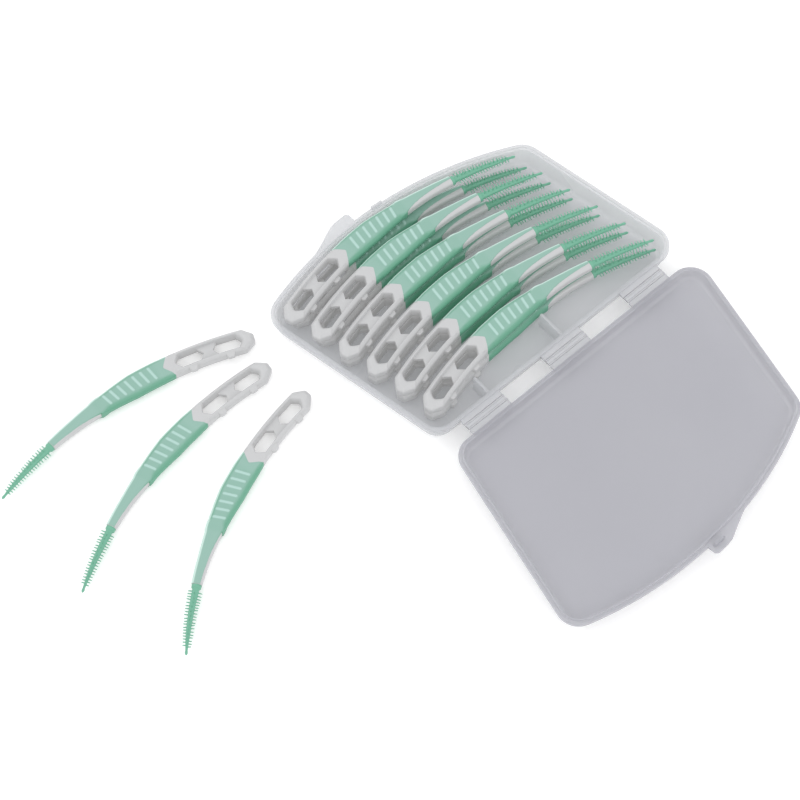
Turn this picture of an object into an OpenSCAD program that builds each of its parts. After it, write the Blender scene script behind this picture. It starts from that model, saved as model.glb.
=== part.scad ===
// An open pocket case that holds two layers of interdental picks, with loose picks beside it.
// Millimetres, +Z up, standing on z = 0. The origin is under the middle of the tray.
// The hinge runs along X on the tray's -Y side, and the tray's +Y side is the bowed front.

/* [Case outline] */
// Room for the picks' ends along the hinge side, both ends together
end_room = 8.2; // [7.6:0.1:12]
// Room between the bowed front's wall and the first upper pick
front_room = 0.5; // [0.4:0.05:1.5]
// Room between the hinge side's wall and the last upper pick
back_room = 1.35; // [1.1:0.05:3]
// How much deeper the left side is than the right side
left_more = 6.2; // [5:0.1:7]
// Sideways lean of the left side
left_lean = 11.6; // [10:0.1:13]
// Sideways lean of the right side
right_lean = 10.1; // [8:0.1:11]
// How much smaller the bowed front's radius is than a bow that follows the first pick
bow_less = 7.4; // [5:0.1:8]
// Radius of the outline's corners
corner_r = 6.3; // [5.5:0.1:7]

/* [Tray] */
// Height of the tray
case_h = 7.6; // [7.4:0.1:12]
// Thickness of the tray's walls
wall_t = 0.8; // [0.7:0.05:1]
// Thickness of the tray's floor
floor_t = 1; // [0.8:0.1:1.2]
// Reach of the rim beyond the walls
rim_out = 0.7; // [0.6:0.05:0.9]
// Thickness of the rim
rim_t = 1.5; // [1:0.1:2]
// Draft of the walls, from the rim down to the bevel at the foot
draft = 0.6; // [0.2:0.1:0.7]
// Width and height of the bevel round the tray's foot
foot_bevel = 1.7; // [1:0.1:1.8]
// Height of the flat foot that the tray stands on
foot_h = 0.3; // [0.2:0.1:0.5]
// Width and height of the bevel round the floor, inside the walls
floor_bevel = 0.8; // [0.4:0.1:0.9]
// Thickness of the two ribs that hold the stack off the hinge side
rib_t = 0.9; // [0.6:0.1:1.5]
// Distance of the ribs' tops below the rim
rib_drop = 0.8; // [0.5:0.1:2]
// Distance from the hinge side's middle to the rib at the handles
rib_left = 25.3; // [20:0.1:30]
// Distance from the hinge side's middle to the rib at the grips
rib_right = 1; // [-4:0.2:6]

/* [Lid] */
// Height of the lid, from its panel to its rim
lid_h = 3.6; // [3:0.1:5]
// Thickness of the lid's panel
panel_t = 0.9; // [0.7:0.1:1.2]
// Draft of the lid's walls, from the rim to the bevel round the panel
lid_draft = 0.3; // [0.1:0.05:0.5]
// Bevel round the lid's panel
panel_bevel = 0.8; // [0.4:0.1:1]
// Thickness of the lid's rim
lid_rim_t = 1.2; // [0.8:0.1:1.6]
// Height of the lip that plugs into the tray
lip_h = 0.8; // [0.4:0.1:1]
// Thickness of the lip
lip_t = 0.45; // [0.4:0.05:0.5]
// Clearance between the lip and its seat in the tray's rim
lip_gap = 0.1; // [0.1:0.05:0.2]

/* [Latch] */
// Length of each thumb tab along the front
tab_w = 15; // [12:0.5:18]
// Reach of each thumb tab beyond the rim
tab_out = 3.1; // [2.5:0.1:4]
// Thickness of each thumb tab
tab_t = 1.1; // [0.8:0.1:1.4]
// Length of the tab's straight end
tab_flat = 4.5; // [3:0.1:5.5]
// Gap along the front between the two tabs
tab_gap = 5; // [3:0.5:8]
// Distance along the front from the lid's tab end to the catch and its hook
catch_from = 1.1; // [0.6:0.1:1.4]
// Length of the catch and of its hook along the front
catch_w = 3.6; // [2:0.1:4]
// Reach of the catch on the tray's rim
catch_out = 0.5; // [0.3:0.05:0.7]
// Depth to which the lid's hook reaches down over the catch
hook_h = 2.1; // [1.6:0.1:2.4]
// Thickness of the hook
hook_t = 0.8; // [0.6:0.1:1]

/* [Hinge] */
// Gap between the two rims at the hinge
hinge_gap = 5.1; // [4.6:0.1:6]
// Number of hinge straps
strap_n = 3; // [2:1:3]
// Length of each strap along the hinge
strap_w = 13.7; // [10:0.1:16]
// Distance from each outer strap to the round corner beside it, on average
strap_end = 2.5; // [1.5:0.1:6]
// Shift of the middle strap from the middle of the hinge side
strap_shift = 1.1; // [0:0.1:3]
// Distance between a strap's two fold lines
film_w = 1.4; // [1.2:0.1:1.6]
// Thickness of the strap between its fold lines
film_t = 0.4; // [0.3:0.05:0.45]
// Radius of the rounded fold line
fold_r = 0.28; // [0.24:0.01:0.32]
// Running clearance beside a fold line
fold_gap = 0.05; // [0.03:0.01:0.1]
// Thickness of the tongues that carry the straps
tongue_t = 1; // [0.8:0.1:1.2]
// Gap between the two rims when the case is shut
shut_gap = 0.2; // [0.1:0.05:0.4]

/* [Pick] */
// Radius of the curve
bend_r = 114.4; // [112:0.4:125]
// Thickness of the handle and the grip
handle_t = 3.8; // [3.4:0.1:3.9]
// Width of the handle
handle_w = 6.4; // [6:0.1:6.6]
// Width of the bevels along the handle
handle_bevel = 0.9; // [0.5:0.05:1]
// Length of the handle's point under the grip
point_len = 2.4; // [1.5:0.1:3]
// Width of the flat at the handle's end
end_flat = 2.2; // [1.5:0.1:3]
// Length of the chamfer at the handle's end
end_cut = 2.8; // [2:0.1:3.5]
// Distance from the handle's end to its first window
window_from = 3.4; // [3:0.1:4]
// Length of each window
window_len = 8.2; // [7:0.1:8.4]
// Width of each window
window_w = 3.9; // [3:0.1:4]
// Gap between the two windows
window_gap = 2.7; // [2:0.1:3.5]
// Distance from the last window to the corners of the handle's pointed end
window_rest = 1.3; // [1.1:0.1:2]
// Length of a window's pointed end
window_point = 2; // [1.5:0.1:2.5]
// Thickness of the web between the windows
web_t = 1.4; // [1:0.1:2]
// Reach of the small nubs on the handle's inner edge
nub_out = 0.9; // [0.5:0.1:1]
// Length of each nub
nub_len = 2.4; // [1.8:0.1:3]
// Thickness of each nub
nub_t = 1.8; // [1:0.1:2.4]

/* [Grip and neck] */
// Length of the grip
grip_len = 23.2; // [20:0.1:25]
// Width of the grip at its widest
grip_w = 7.1; // [6.8:0.1:7.2]
// Width of the grip at its tip end
grip_end_w = 4.9; // [4.4:0.1:5.4]
// Width of the bevels along the grip
grip_bevel = 1.2; // [0.8:0.05:1.3]
// Width of the bar that runs through the grip
bar_w = 2.6; // [2:0.1:2.8]
// Thickness of the bar that runs through the grip
bar_t = 1.6; // [1.2:0.1:1.8]
// Length of the neck, from the grip to the collar at the brush
neck_len = 15.8; // [13:0.1:17]
// Width of the neck where it leaves the grip
neck_w = 4.3; // [4:0.1:4.4]
// Thickness of the neck where it leaves the grip
neck_t = 3.1; // [2.8:0.1:3.3]
// Thickness of the neck at the collar
neck_end_t = 2.4; // [2.2:0.1:2.7]
// Width of the neck at the collar
collar_w = 2.7; // [2.6:0.1:3]
// Width of the bevels along the neck
neck_bevel = 0.5; // [0.3:0.05:0.6]
// Thickness of the rubber that runs on from the grip along the neck
wrap_in = 0.4; // [0.3:0.05:0.5]
// Height to which that rubber stands proud of the neck
wrap_out = 0.08; // [0.05:0.01:0.15]

/* [Brush] */
// Length of the brush, from the collar to the tip
brush_len = 19.6; // [17:0.1:21]
// Length of the collar
collar_len = 0.9; // [0.6:0.1:1.4]
// Radius of the brush's stem at the collar
stem_r = 0.95; // [0.8:0.05:1]
// Radius of the stem behind the bulb at the tip
stem_tip_r = 0.32; // [0.25:0.01:0.4]
// Radius of the bulb at the tip
bulb_r = 0.42; // [0.4:0.01:0.5]
// Length of the bulb
bulb_len = 1.3; // [1:0.1:1.6]
// Length of a bristle at the collar end
bristle_len = 1.05; // [0.8:0.05:1.1]
// Length of a bristle at the tip end
bristle_tip_len = 0.75; // [0.6:0.05:0.85]
// Radius of a bristle at its root
bristle_r = 0.17; // [0.14:0.01:0.2]
// Distance from the last side bristles to the tip
bristle_rest = 3.4; // [2.8:0.1:4]
// Number of bristles along each side
side_bristles = 13; // [8:1:13]
// Number of bristles along the top
top_bristles = 7; // [4:1:7]

/* [Layout] */
// Gap between a handle's nubs and the next pick's handle in a layer, along Y
pick_gap = 1.62; // [1.3:0.01:2.2]
// How much further each pick lies to the right than the lean of the sides takes it
step_more = 0.33; // [0.1:0.01:0.4]
// Distance of the first upper pick to the left of the line midway between the sides
stack_left = 1.13; // [0.8:0.01:1.3]
// Clearance under each layer of picks
layer_gap = 0.2; // [0.1:0.05:0.3]
// Largest slip of a lower pick towards the brush ends
slip_x = 1.8; // [0:0.1:2]
// Largest slip of a lower pick towards the hinge
slip_y = 1.6; // [0.8:0.1:1.8]
// Clearance between the ribs and the nearest picks
rib_gap = 0.35; // [0.3:0.05:0.6]
// Room between the tray's front left corner and the first loose pick, along X
loose_room = 4; // [2:0.1:14]
// Distance from the hinge side's rim to the middle of the first loose pick
loose_up = 60.6; // [55:0.1:66]
// Step along X from one loose pick to the next
loose_step = 4.15; // [0:0.05:6]
// Step towards -Y from one loose pick to the next
loose_drop = 22.05; // [20:0.05:26]

/* [Hidden] */
LAYER_N = 6;
LOOSE_N = 3;
GROUPS = [["upper_pick", LAYER_N], ["lower_pick", LAYER_N], ["loose_pick", LOOSE_N]];
PIECES = ["core", "grip", "brush"];

$fn = 96;
overrun = 1;
// Thickness of the thin slabs that a drafted wall is drawn between
sheet_t = 0.02;
STRAND_SIDES = 3;
STEM_SIDES = 8;
// Angles of the picks' chords, and how each lower pick turns away from the one above it
UPPER_TURN = -1.33;
LOWER_TURNS = [-2.2, -1.5, -0.7, -0.6, -0.7, -0.7];
LOOSE_TURNS = [174.7, 192.8, 206.6];
// How much of the largest slip each lower pick has
slip_x_shares = [1, 0.7, 0.15, 0.1, 0.15, 0.1];
slip_y_shares = [1, 0.75, 0.35, 0.3, 0.35, 0.35];
// How far each loose pick lies along X, as shares of the step
loose_x_shares = [0, -0.4, 1];

// Plane geometry
function unit(v) = v / norm(v);
function left_of(v) = [-v[1], v[0]];
function right_of(v) = [v[1], -v[0]];
function cross2(a, b) = a[0] * b[1] - a[1] * b[0];
function meet(p, d, q, e) = p + d * cross2(q - p, e) / cross2(d, e);
function turned(v, a) = [v[0] * cos(a) - v[1] * sin(a), v[0] * sin(a) + v[1] * cos(a)];
// Point of the line from p along d that lies rad from c, on the far side
function far_on_line(p, d, c, rad) =
    let (b = (p - c) * d, k = (p - c) * (p - c) - rad * rad)
    p + d * (-b + sqrt(b * b - k));

// Places along a pick, from its handle's end, and the arc that it is bent to
window_pitch = window_len + window_gap;
handle_len = window_from + window_pitch + window_len + window_rest;
grip_to = handle_len + grip_len;
collar_at = grip_to + neck_len;
pick_len = collar_at + brush_len;
half_turn = pick_len / 2 / bend_r * 180 / PI;
rise = bend_r * (1 - cos(half_turn));
half_chord = bend_r * sin(half_turn);

// The case is as wide and as deep as the upper picks need
wall_in = rim_out + wall_t;
pick_pitch = handle_w + nub_out + pick_gap;
first_back = wall_in + front_room + grip_w / 2 + rise;
crown_d = first_back + (LAYER_N - 1) * pick_pitch + handle_w / 2 + nub_out + back_room + wall_in;
back_w = 2 * half_chord + end_room;
front_r = bend_r + grip_w / 2 + front_room + wall_in - bow_less;

// The line between the front corners falls to the right; under it lies the centre of the bow
front_span = [back_w + left_lean - right_lean, -left_more];
front_dir = left_of(unit(front_span));
front_drop = sqrt(front_r * front_r - front_span * front_span / 4);
sides_d = crown_d - (front_r - front_drop * front_dir[1]);
left_d = sides_d + left_more / 2;
right_d = sides_d - left_more / 2;

// Corners of the tray's outline, with its bounding box centred on the origin
mid_x = left_lean / 2;
back_y = -crown_d / 2;
BL = [mid_x - back_w / 2, back_y];
BR = [mid_x + back_w / 2, back_y];
FR = BR + [-right_lean, right_d];
FL = BL + [-left_lean, left_d];
back_dir = unit(BR - BL);
right_dir = unit(FR - BR);
left_dir = unit(FL - BL);

// The bowed front is an arc about FRONT_C, and its crown is its furthest point along Y
FRONT_C = (FR + FL) / 2 - front_dir * front_drop;
crown_y = FRONT_C[1] + front_r;

// Centres of the rounded corners
CBL = meet(BL + left_of(back_dir) * corner_r, back_dir, BL + right_of(left_dir) * corner_r, left_dir);
CBR = meet(BR + left_of(back_dir) * corner_r, back_dir, BR + left_of(right_dir) * corner_r, right_dir);
CFR = far_on_line(BR + left_of(right_dir) * corner_r, right_dir, FRONT_C, front_r - corner_r);
CFL = far_on_line(BL + right_of(left_dir) * corner_r, left_dir, FRONT_C, front_r - corner_r);

// Points of an arc about c between two headings, in n equal steps
function heading(v) = atan2(v[1], v[0]);
function arc(c, r, a, b, n) = [for (i = [0:n]) let (t = a + (b - a) * i / n) c + r * [cos(t), sin(t)]];

// The case's outline, set in by inset: straight sides, round corners and the bowed front
CORNER_STEPS = 8;
FRONT_STEPS = 16;
module outline(inset) {
    r = corner_r - inset;
    n = CORNER_STEPS;
    left = heading(left_of(left_dir)) + 360;
    right = heading(right_of(right_dir));
    front = [heading(CFR - FRONT_C), heading(CFL - FRONT_C)];
    bow = arc(FRONT_C, front_r - inset, front[0], front[1], FRONT_STEPS);
    polygon(concat(
        arc(CBL, r, left, 270, n), arc(CBR, r, -90, right, n), arc(CFR, r, right, front[0], n),
        [for (i = [1:FRONT_STEPS - 1]) bow[i]], arc(CFL, r, front[1], left, n)
    ));
}

// A slab of the outline from height z up by h
module slab(inset, z, h) {
    translate([0, 0, z]) linear_extrude(h) outline(inset);
}

// Point at distance a along the bowed front from its crown, v outside the rim
function front_pt(a, v) =
    let (t = a / front_r * 180 / PI)
    FRONT_C + (front_r + v) * [sin(t), cos(t)];

// Thumb tab: a straight end and a long slope back to the rim, on one side of the latch
slope_shares = [[0.16, 0.93], [0.56, 0.42], [0.85, 0.12]];
module tab_outline(from, way) {
    slope = tab_w - tab_flat;
    polygon(concat(
        [front_pt(from, -wall_t), front_pt(from, tab_out * 0.75)],
        [front_pt(from + way * tab_out * 0.25, tab_out), front_pt(from + way * tab_flat, tab_out)],
        [for (s = slope_shares) front_pt(from + way * (tab_flat + slope * s[0]), tab_out * s[1])],
        [front_pt(from + way * tab_w, -wall_t)]
    ));
}

// Hinge places: the fold lines run along X at height fold_z, film_w apart. The lid turns about
// the line midway between them, at height turn_z, which brings its fold line over the tray's.
hinge_y = back_y - hinge_gap / 2;
turn_z = case_h + shut_gap / 2;
fold_z = turn_z - film_w / 2;
fold_y = film_w / 2;
tongue_y = fold_y + fold_r + fold_gap;
strap_mid = mid_x - strap_shift;
strap_pitch = (back_w - 2 * corner_r - 2 * strap_end - strap_w) / (strap_n - 1);
STRAP_XS = [for (i = [0:strap_n - 1]) strap_mid + (i - (strap_n - 1) / 2) * strap_pitch - strap_w / 2];

// Turns the tray's side of the hinge into the lid's side
module across_hinge() {
    translate([0, 2 * hinge_y, 0]) mirror([0, 1, 0]) children();
}

// The tongues reach from a rim towards the fold lines
module tongues() {
    reach = hinge_gap / 2 - tongue_y + rim_out + wall_t / 2;
    for (x = STRAP_XS)
        translate([x, hinge_y + tongue_y, fold_z + fold_r - tongue_t]) cube([strap_w, reach, tongue_t]);
}

// Tray
seat_h = lip_h - shut_gap + lip_gap;

// Solid between thin slabs of the outline: each place is an inset and a height
module drafted(places) {
    hull() for (p = places) slab(p[0], p[1], sheet_t);
}

module case_tray() {
    color([0.86, 0.87, 0.89, 0.6])
        difference() {
            union() {
                slab(rim_out + draft + foot_bevel + foot_h, 0, foot_h);
                drafted([
                    [rim_out, case_h - rim_t / 2], [rim_out + draft, foot_bevel],
                    [rim_out + draft + foot_bevel - foot_h / 2, foot_h / 2]
                ]);
                slab(0, case_h - rim_t, rim_t);
                translate([0, 0, case_h - tab_t]) linear_extrude(tab_t) tab_outline(0, -1);
                translate([0, 0, case_h - rim_t]) linear_extrude(rim_t) catch_outline(-wall_t, catch_out);
                tongues();
            }
            difference() {
                drafted([
                    [wall_in, case_h + overrun], [wall_in, case_h],
                    [wall_in + draft, floor_t + floor_bevel], [wall_in + draft + floor_bevel, floor_t]
                ]);
                rib(mid_x - rib_left, handle_w / 2 + nub_out);
                rib(mid_x + rib_right, grip_w / 2);
            }
            slab(wall_in - lip_t - lip_gap, case_h - seat_h, seat_h + overrun);
        }
}

// Strip along the front at the latch, between two distances outside the rim
module catch_outline(from, to) {
    a = tab_gap + catch_from;
    polygon([front_pt(a, from), front_pt(a, to), front_pt(a + catch_w, to), front_pt(a + catch_w, from)]);
}

// A rib stands on the floor, from the hinge side's wall to the inner edge of the last picks
module rib(x, half) {
    to = min([for (layer = [0, 1]) inner_edge_y(cased_place(layer, LAYER_N - 1), x, half)]) - rib_gap;
    translate([x - rib_t / 2, back_y, 0]) cube([rib_t, to - back_y, case_h - rib_drop]);
}

// Hinge straps: thin plates with a rounded fold line along each side
module hinge_straps() {
    color([0.9, 0.91, 0.93, 0.6])
        for (x = STRAP_XS) {
            translate([x, hinge_y - fold_y, fold_z - film_t / 2]) cube([strap_w, film_w, film_t]);
            for (s = [-1, 1])
                translate([x, hinge_y + s * fold_y, fold_z]) rotate([0, 90, 0]) cylinder(h = strap_w, r = fold_r);
        }
}

// Lid, lying open: the tray's outline mirrored in the hinge, open side up
module case_lid() {
    lid_z = case_h - lid_h;
    color([0.84, 0.84, 0.88, 0.6]) across_hinge() {
        difference() {
            union() {
                drafted([
                    [rim_out, case_h - lid_rim_t / 2], [rim_out + lid_draft, lid_z + panel_bevel],
                    [rim_out + lid_draft + panel_bevel, lid_z]
                ]);
                slab(0, case_h - lid_rim_t, lid_rim_t);
                slab(wall_in - lip_t, case_h - lid_rim_t, lid_rim_t + lip_h);
                translate([0, 0, case_h - tab_t]) linear_extrude(tab_t) tab_outline(tab_gap, 1);
                translate([0, 0, case_h - tab_t]) linear_extrude(tab_t + hook_h)
                    catch_outline(catch_out + lip_gap, catch_out + lip_gap + hook_t);
                tongues();
            }
            drafted([
                [wall_in, case_h + lip_h + overrun], [wall_in + lid_draft, lid_z + panel_t + panel_bevel],
                [wall_in + lid_draft + panel_bevel, lid_z + panel_t]
            ]);
        }
    }
}

// A pick's own frame: its chord lies along X, the handle's end at -X, the curve's outside at +Y,
// and its underside at z = 0
mid_z = handle_t / 2;

// Point at distance s along the curve from the handle's end, n outside it
function curve_pt(s, n) =
    let (t = (2 * s / pick_len - 1) * half_turn)
    [(bend_r + n) * sin(t), rise - bend_r + (bend_r + n) * cos(t)];

// Half width of the pick's plan at distance s
WIDTHS = [
    [0, end_flat], [end_cut, handle_w], [handle_len, handle_w], [handle_len + overrun, grip_w],
    [(handle_len + grip_to) / 2, grip_w], [grip_to, grip_end_w]
];
NECK_WIDTHS = [[grip_to, neck_w], [(grip_to + collar_at) / 2, (neck_w + 2 * collar_w) / 3], [collar_at, collar_w]];
function stations(from, to, n) = [for (i = [0:n]) from + (to - from) * i / n];

// Strip along the curve between the given stations, as wide as the table says
module strip(ss, widths) {
    polygon(concat(
        [for (s = ss) curve_pt(s, lookup(s, widths) / 2)],
        [for (i = [len(ss) - 1:-1:0]) curve_pt(ss[i], -lookup(ss[i], widths) / 2)]
    ));
}

// Ring of points across the curve at distance s: a rectangle with bevelled corners,
// 2 * w wide and 2 * t thick
function section(s, w, t, bevel) =
    let (b = min(bevel, 0.8 * w, 0.8 * t))
    [for (p = [[w, t - b], [w - b, t], [b - w, t], [-w, t - b], [-w, b - t], [b - w, -t], [w - b, -t], [w, b - t]])
        let (c = curve_pt(s, p[0])) [c[0], c[1], mid_z + p[1]]];

// Closed skin over a row of rings that have as many points each
module skin(rings) {
    n = len(rings);
    m = len(rings[0]);
    polyhedron(
        points = [for (q = rings) each q],
        faces = concat(
            [for (k = [1:m - 2]) [0, k, k + 1]],
            [for (k = [1:m - 2]) [(n - 1) * m, (n - 1) * m + k + 1, (n - 1) * m + k]],
            [for (j = [0:n - 2], k = [0:m - 1]) [j * m + k, (j + 1) * m + k, j * m + (k + 1) % m]],
            [for (j = [0:n - 2], k = [0:m - 1])
                [j * m + (k + 1) % m, (j + 1) * m + k, (j + 1) * m + (k + 1) % m]]
        )
    );
}

// Solid of a plan outline, t thick about the pick's middle height
module plate(t) {
    translate([0, 0, mid_z - t / 2]) linear_extrude(t) children();
}

// Long hexagon along the curve, with pointed ends
module hexagon(from, to) {
    ss = concat([from], stations(from + window_point, to - window_point, 3), [to]);
    strip(ss, [
        [from, window_w / 3], [from + window_point, window_w],
        [to - window_point, window_w], [to, window_w / 3]
    ]);
}

// The handle's plan ends in a point, which the grip's plan leaves free
module handle_plan() {
    ss = concat([0, end_cut], stations(end_cut, handle_len, 5));
    polygon(concat(
        [for (s = ss) curve_pt(s, min(lookup(s, WIDTHS), handle_w) / 2)],
        [curve_pt(handle_len + point_len, 0)],
        [for (i = [len(ss) - 1:-1:0]) curve_pt(ss[i], -min(lookup(ss[i], WIDTHS), handle_w) / 2)]
    ));
}

module nub_plan(s) {
    cut = nub_len / 4;
    polygon([
        curve_pt(s - nub_len / 2, -handle_w / 2 + nub_out), curve_pt(s - nub_len / 2, -handle_w / 2),
        curve_pt(s - nub_len / 2 + cut, -handle_w / 2 - nub_out),
        curve_pt(s + nub_len / 2 - cut, -handle_w / 2 - nub_out),
        curve_pt(s + nub_len / 2, -handle_w / 2), curve_pt(s + nub_len / 2, -handle_w / 2 + nub_out)
    ]);
}

WINDOWS = [window_from, window_from + window_pitch];
bar_from = handle_len - window_point / 2;

// The bar starts in the solid end of the handle and ends inside the neck
module bar_plan() {
    strip(stations(bar_from, grip_to + overrun, 6), [[bar_from, bar_w], [grip_to, bar_w]]);
}

// The handle's bevelled beam, which reaches past its pointed end
module handle_beam() {
    half = handle_t / 2;
    skin([
        section(0, end_flat / 2, half - handle_bevel, handle_bevel),
        section(handle_bevel, lookup(handle_bevel, WIDTHS) / 2, half, handle_bevel),
        for (s = stations(end_cut, handle_len + 2 * point_len, 4)) section(s, handle_w / 2, half, handle_bevel)
    ]);
}

// White core: the handle with its windows, the bar through the grip, and the neck
module pick_core() {
    color([0.93, 0.93, 0.94]) {
        difference() {
            intersection() {
                handle_beam();
                plate(handle_t + overrun) handle_plan();
            }
            for (from = WINDOWS) plate(handle_t + 2 * overrun) hexagon(from, from + window_len);
            difference() {
                plate(handle_t + 2 * overrun) hexagon(WINDOWS[0], WINDOWS[1] + window_len);
                plate(web_t) hexagon(WINDOWS[0] - overrun, WINDOWS[1] + window_len + overrun);
            }
        }
        for (from = WINDOWS) plate(nub_t) nub_plan(from + window_len / 2);
        plate(bar_t) bar_plan();
        difference() {
            neck_skin(0, 0);
            wrap_space();
        }
    }
}

// The neck between the grip and the collar, thinner towards the collar, its skin moved out by
// grow and its ends by past
NECK_THICKS = [[grip_to, neck_t], [collar_at, neck_end_t]];
module neck_skin(grow, past) {
    skin([
        for (s = stations(grip_to - past, collar_at + past, 3))
            section(s, lookup(s, NECK_WIDTHS) / 2 + grow, lookup(s, NECK_THICKS) / 2 + grow, neck_bevel)
    ]);
}

// Space of the rubber on the neck. It wraps the outer edge, and its inner limit slants across
// the neck: each entry is a share of the neck's length and a share of its half width there.
wrap_shares = [[0, -0.62], [0.3, -0.2], [0.65, 0.35], [1, 0.72]];
module wrap_space() {
    long = collar_at - grip_to;
    limit = [
        for (q = wrap_shares) let (s = grip_to + long * q[0]) curve_pt(s, lookup(s, NECK_WIDTHS) / 2 * q[1])
    ];
    ss = stations(grip_to - overrun, collar_at + overrun, 4);
    difference() {
        plate(handle_t) polygon(concat(
            [curve_pt(ss[0], wrap_shares[0][1] * neck_w / 2)], limit,
            [curve_pt(ss[4], wrap_shares[3][1] * collar_w / 2)],
            [for (i = [4:-1:0]) curve_pt(ss[i], neck_w)]
        ));
        neck_skin(-wrap_in, 2 * overrun);
    }
}

// Rubber grip round the bar, and the rubber that runs on from it along the neck
module pick_grip() {
    half = handle_t / 2;
    color([0.5, 0.78, 0.66])
        difference() {
            union() {
                skin([
                    section(handle_len, handle_w / 2, half, grip_bevel),
                    for (s = stations(handle_len + overrun, grip_to - grip_bevel, 4))
                        section(s, lookup(s, WIDTHS) / 2, half, grip_bevel),
                    section(grip_to, grip_end_w / 2, (half + neck_t / 2) / 2 + wrap_out, grip_bevel)
                ]);
                intersection() {
                    wrap_space();
                    neck_skin(wrap_out, 0);
                }
            }
            plate(handle_t + 2 * overrun) handle_plan();
            plate(bar_t) bar_plan();
        }
}

// Rings of the brush's stem: place along the curve and radius
STEM = [
    [collar_at, collar_w / 2], [collar_at + collar_len, collar_w / 2],
    [collar_at + 1.3 * collar_len, stem_r], [collar_at + (pick_len - collar_at) / 3, stem_r * 0.85],
    [collar_at + (pick_len - collar_at) * 2 / 3, (stem_r + stem_tip_r) / 2],
    [pick_len - bulb_len, stem_tip_r], [pick_len - bulb_len * 0.6, bulb_r],
    [pick_len - bulb_len * 0.25, bulb_r * 0.8], [pick_len, bulb_r * 0.2]
];

function ring(s, r) =
    let (c = curve_pt(s, 0), t = (2 * s / pick_len - 1) * half_turn)
    [for (k = [0:STEM_SIDES - 1]) let (q = (k + 0.5) * 360 / STEM_SIDES)
        [c[0] + r * cos(q) * sin(t), c[1] + r * cos(q) * cos(t), mid_z + r * sin(q)]];

// Rubber brush: a tapering stem with a bulb at its tip, and rows of bristles
module pick_brush() {
    color([0.42, 0.73, 0.58]) union() {
        skin([for (q = STEM) ring(q[0], q[1])]);
        for (i = [0:side_bristles - 1], side = [-1, 1])
            bristle(bristle_at(i), -90 * side);
        for (i = [0:top_bristles - 1])
            bristle(bristle_at(i * (side_bristles - 1) / (top_bristles - 1)) + bristle_pitch / 2, 0);
    }
}

bristle_pitch = (brush_len - 2 * collar_len - bristle_rest) / (side_bristles - 1);
function bristle_at(i) = collar_at + 2 * collar_len + i * bristle_pitch;

// One bristle, standing on the stem's middle line and leaning round it by the given angle
module bristle(s, lean) {
    share = (s - collar_at) / (pick_len - collar_at);
    long = bristle_len + (bristle_tip_len - bristle_len) * share;
    c = curve_pt(s, 0);
    translate([c[0], c[1], mid_z]) rotate([0, 0, -(2 * s / pick_len - 1) * half_turn]) rotate([lean, 0, 0])
        cylinder(h = lookup(s, STEM) + long, r1 = bristle_r, r2 = bristle_r / 4, $fn = STRAND_SIDES);
}

// The stack follows the mean lean of the sides
side_lean = (left_lean / left_d + right_lean / right_d) / 2;
pick_step = pick_pitch * side_lean + step_more;
first_left = (crown_d - first_back) * side_lean + stack_left;
loose_far = back_w / 2 + left_lean + half_chord + loose_room;

// Places of the picks: x, y and z of the chord's middle, the chord's turn, and 1 if turned over.
// Layer 1 is the upper one and layer 0 the lower one.
function cased_place(layer, i) =
    let (
        x = mid_x - first_left + i * pick_step,
        y = crown_y - first_back - i * pick_pitch,
        low = 1 - layer
    )
    [
        x + low * slip_x * slip_x_shares[i], y - low * slip_y * slip_y_shares[i],
        floor_t + layer_gap + layer * (handle_t + layer_gap), UPPER_TURN + low * LOWER_TURNS[i], 0
    ];

function loose_place(i) = [
    mid_x - loose_far + loose_step * loose_x_shares[i],
    back_y + loose_up - loose_drop * i,
    0, LOOSE_TURNS[i], 1
];

// Height along Y of a cased pick's inner edge over x, where the pick is 2 * half wide
function inner_edge_y(place, x, half) =
    let (c = [place[0], place[1]] + turned([0, rise - bend_r], place[3]))
    c[1] + sqrt(pow(bend_r - half, 2) - pow(x - c[0], 2));

module at_place(place) {
    translate([place[0], place[1], place[2]]) rotate([0, 0, place[3]])
        translate([0, 0, place[4] * handle_t]) rotate([place[4] * 180, 0, 0]) children();
}

function place_of(group, i) =
    group == 2 ? loose_place(i) : cased_place(1 - group, i);

module piece(name) {
    if (name == "core") pick_core();
    if (name == "grip") pick_grip();
    if (name == "brush") pick_brush();
}

case_tray();
hinge_straps();
case_lid();
for (g = [0:2], i = [0:GROUPS[g][1] - 1], p = PIECES)
    at_place(place_of(g, i)) piece(p);
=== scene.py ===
"""Interdental picks in an open pocket case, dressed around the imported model.

The tray, the lid and every pick are surfaces worked out with numpy from the sizes below, which are in
millimetres and are the model's own. Each piece stands where its node stands and rides on its body.
"""

import math

import bpy
import numpy as np
from mathutils import Matrix, Vector


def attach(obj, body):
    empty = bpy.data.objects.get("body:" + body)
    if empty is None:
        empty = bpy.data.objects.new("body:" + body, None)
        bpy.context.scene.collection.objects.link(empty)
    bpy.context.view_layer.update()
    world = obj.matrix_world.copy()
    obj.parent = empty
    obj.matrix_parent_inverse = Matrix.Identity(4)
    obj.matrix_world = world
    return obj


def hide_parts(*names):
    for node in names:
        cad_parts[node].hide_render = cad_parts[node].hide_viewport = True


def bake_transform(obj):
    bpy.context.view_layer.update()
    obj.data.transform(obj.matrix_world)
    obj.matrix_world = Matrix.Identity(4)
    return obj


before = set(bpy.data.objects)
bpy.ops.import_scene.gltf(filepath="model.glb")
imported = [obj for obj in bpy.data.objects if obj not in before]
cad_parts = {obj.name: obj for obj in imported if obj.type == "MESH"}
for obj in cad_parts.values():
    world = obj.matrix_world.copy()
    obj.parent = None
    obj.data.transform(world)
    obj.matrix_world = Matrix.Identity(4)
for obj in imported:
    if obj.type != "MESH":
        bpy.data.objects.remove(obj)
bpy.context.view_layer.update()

MM = 0.001

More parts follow.
